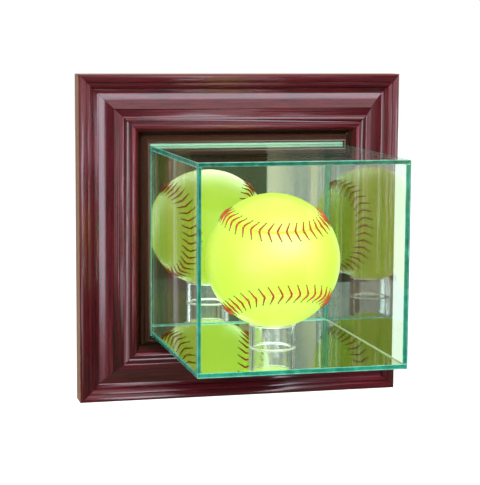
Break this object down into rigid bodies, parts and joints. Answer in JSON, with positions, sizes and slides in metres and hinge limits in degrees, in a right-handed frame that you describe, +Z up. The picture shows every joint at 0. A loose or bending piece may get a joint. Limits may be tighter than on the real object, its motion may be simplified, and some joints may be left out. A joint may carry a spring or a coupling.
{
  "type": "wall-hung ball display case",
  "caption": "Square moulded wood frame with a glass box reaching forward, mirrored floor and back, holding one ball on a clear ring; hangs on a wall.",
  "frame": {"origin": "on the frame's flat back face, at the middle notch of the sawtooth hanger, where the case hangs", "axes": "+Y towards the wall, -Y towards the viewer, +Z up, +X to the viewer's right"},
  "size_m": [0.2536, 0.1951, 0.2508],
  "materials": {
    "cherry_lacquer": "semi-gloss lacquered cherry stain on wood",
    "clear_glass": "polished clear glass, green at the cut edges",
    "silvered_glass": "silvered mirror glass",
    "clear_sealant": "clear silicone",
    "hardboard": "smooth brown hardboard",
    "blackened_steel": "black plated",
    "zinc_plated_steel": "zinc plated",
    "bumper_rubber": "matt black rubber",
    "clear_acrylic": "clear polished acrylic tube",
    "optic_yellow_leather": "optic yellow ball leather",
    "moulded_core": "moulded foam core"
  },
  "bodies": {
    "case": {"frame_rail_top": "cherry_lacquer", "frame_rail_right": "cherry_lacquer", "frame_rail_bottom": "cherry_lacquer", "frame_rail_left": "cherry_lacquer", "v_nail_upper_right_1": "zinc_plated_steel", "v_nail_upper_right_2": "zinc_plated_steel", "v_nail_lower_right_1": "zinc_plated_steel", "v_nail_lower_right_2": "zinc_plated_steel", "v_nail_lower_left_1": "zinc_plated_steel", "v_nail_lower_left_2": "zinc_plated_steel", "v_nail_upper_left_1": "zinc_plated_steel", "v_nail_upper_left_2": "zinc_plated_steel", "glass_front": "clear_glass", "glass_top": "clear_glass", "glass_left": "clear_glass", "glass_right": "clear_glass", "mirror_floor": "silvered_glass", "sealant_top": "clear_sealant", "sealant_bottom": "clear_sealant", "sealant_left": "clear_sealant", "sealant_right": "clear_sealant", "button_screw_upper_left": "zinc_plated_steel", "button_screw_lower_left": "zinc_plated_steel", "button_screw_upper_right": "zinc_plated_steel", "button_screw_lower_right": "zinc_plated_steel", "sawtooth_hanger": "zinc_plated_steel", "hanger_nail_left": "zinc_plated_steel", "hanger_nail_right": "zinc_plated_steel", "wall_bumper_upper_left": "bumper_rubber", "wall_bumper_upper_right": "bumper_rubber", "wall_bumper_lower_left": "bumper_rubber", "wall_bumper_lower_right": "bumper_rubber", "ring_stand": "clear_acrylic"},
    "back_panel": {"mirror_back": "silvered_glass", "backing_board": "hardboard"},
    "button_upper_left": {"turn_button_upper_left": "blackened_steel"},
    "button_lower_left": {"turn_button_lower_left": "blackened_steel"},
    "button_upper_right": {"turn_button_upper_right": "blackened_steel"},
    "button_lower_right": {"turn_button_lower_right": "blackened_steel"},
    "ball": {"softball_cover_front": "optic_yellow_leather", "softball_cover_rear": "optic_yellow_leather", "softball_core": "moulded_core"}
  },
  "joints": [
    {"name": "button_upper_left_turn", "type": "hinge", "parent": "case", "child": "button_upper_left", "pos_m": [-0.0902, 0.00105, -0.0604], "axis": [0, -1, 0], "range_deg": [-90, 90]},
    {"name": "button_lower_left_turn", "type": "hinge", "parent": "case", "child": "button_lower_left", "pos_m": [-0.0902, 0.00105, -0.1504], "axis": [0, -1, 0], "range_deg": [-90, 90]},
    {"name": "button_upper_right_turn", "type": "hinge", "parent": "case", "child": "button_upper_right", "pos_m": [0.0902, 0.00105, -0.0604], "axis": [0, 1, 0], "range_deg": [-90, 90]},
    {"name": "button_lower_right_turn", "type": "hinge", "parent": "case", "child": "button_lower_right", "pos_m": [0.0902, 0.00105, -0.1504], "axis": [0, 1, 0], "range_deg": [-90, 90]},
    {"name": "back_panel_slide", "type": "slide", "parent": "case", "child": "back_panel", "axis": [0, 1, 0], "range_m": [0, 0.1]},
    {"name": "ball_lift", "type": "slide", "parent": "case", "child": "ball", "axis": [0, 0, 1], "range_m": [0, 0.025]}
  ]
}
